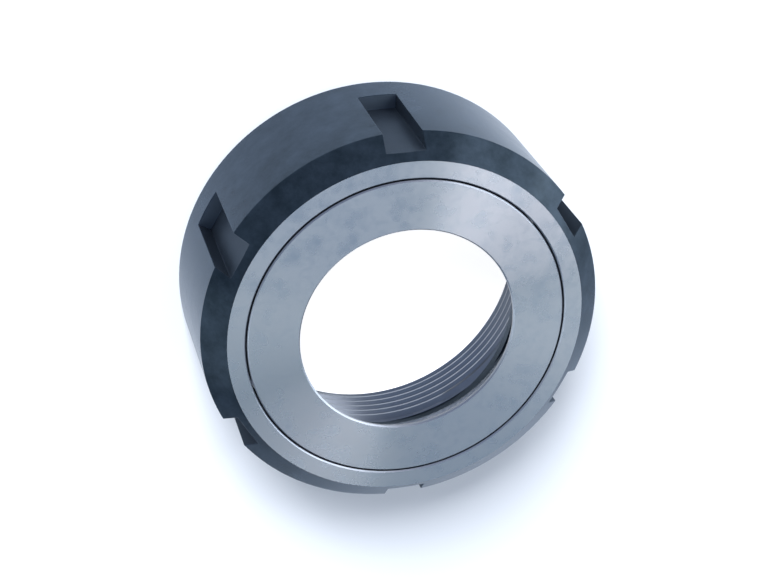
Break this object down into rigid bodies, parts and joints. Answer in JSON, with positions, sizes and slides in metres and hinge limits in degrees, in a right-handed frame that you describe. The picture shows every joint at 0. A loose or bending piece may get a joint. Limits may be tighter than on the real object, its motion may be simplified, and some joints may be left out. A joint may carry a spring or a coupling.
{
  "type": "collet clamping nut",
  "caption": "Round clamping nut for spring collets, with a fine internal thread, spanner slots and a ground pressure ring that turns on balls.",
  "frame": {"origin": "centre of the rear face, where the thread opens and on which the nut stands", "axes": "+Z along the nut's axis, out of the bright front face; +X square to it, 37.7 degrees from the middle of the nearest spanner slot"},
  "size_m": [0.063, 0.063, 0.0255],
  "materials": {
    "blackened_steel": "black oxide, satin",
    "ground_steel": "fine ground",
    "ball_steel": "polished"
  },
  "bodies": {
    "nut": {"nut_body": "blackened_steel", "filling_plug": "blackened_steel"},
    "ring": {"pressure_ring": "ground_steel"},
    "ball_row": {"ball_01": "ball_steel", "ball_02": "ball_steel", "ball_03": "ball_steel", "ball_04": "ball_steel", "ball_05": "ball_steel", "ball_06": "ball_steel", "ball_07": "ball_steel", "ball_08": "ball_steel", "ball_09": "ball_steel", "ball_10": "ball_steel", "ball_11": "ball_steel", "ball_12": "ball_steel", "ball_13": "ball_steel", "ball_14": "ball_steel", "ball_15": "ball_steel", "ball_16": "ball_steel", "ball_17": "ball_steel", "ball_18": "ball_steel", "ball_19": "ball_steel", "ball_20": "ball_steel", "ball_21": "ball_steel", "ball_22": "ball_steel", "ball_23": "ball_steel", "ball_24": "ball_steel", "ball_25": "ball_steel", "ball_26": "ball_steel", "ball_27": "ball_steel", "ball_28": "ball_steel", "ball_29": "ball_steel", "ball_30": "ball_steel", "ball_31": "ball_steel", "ball_32": "ball_steel", "ball_33": "ball_steel", "ball_34": "ball_steel", "ball_35": "ball_steel", "ball_36": "ball_steel", "ball_37": "ball_steel", "ball_38": "ball_steel", "ball_39": "ball_steel"}
  },
  "joints": [
    {"name": "ring_spin", "type": "hinge", "parent": "nut", "child": "ring", "pos_m": [0, 0, 0.0198], "axis": [0, 0, 1], "continuous": true},
    {"name": "ball_row_spin", "type": "hinge", "parent": "nut", "child": "ball_row", "pos_m": [0, 0, 0.0198], "axis": [0, 0, 1], "continuous": true}
  ],
  "couplings": [
    {"joint": "ball_row_spin", "follows": "ring_spin", "ratio": 0.472}
  ]
}
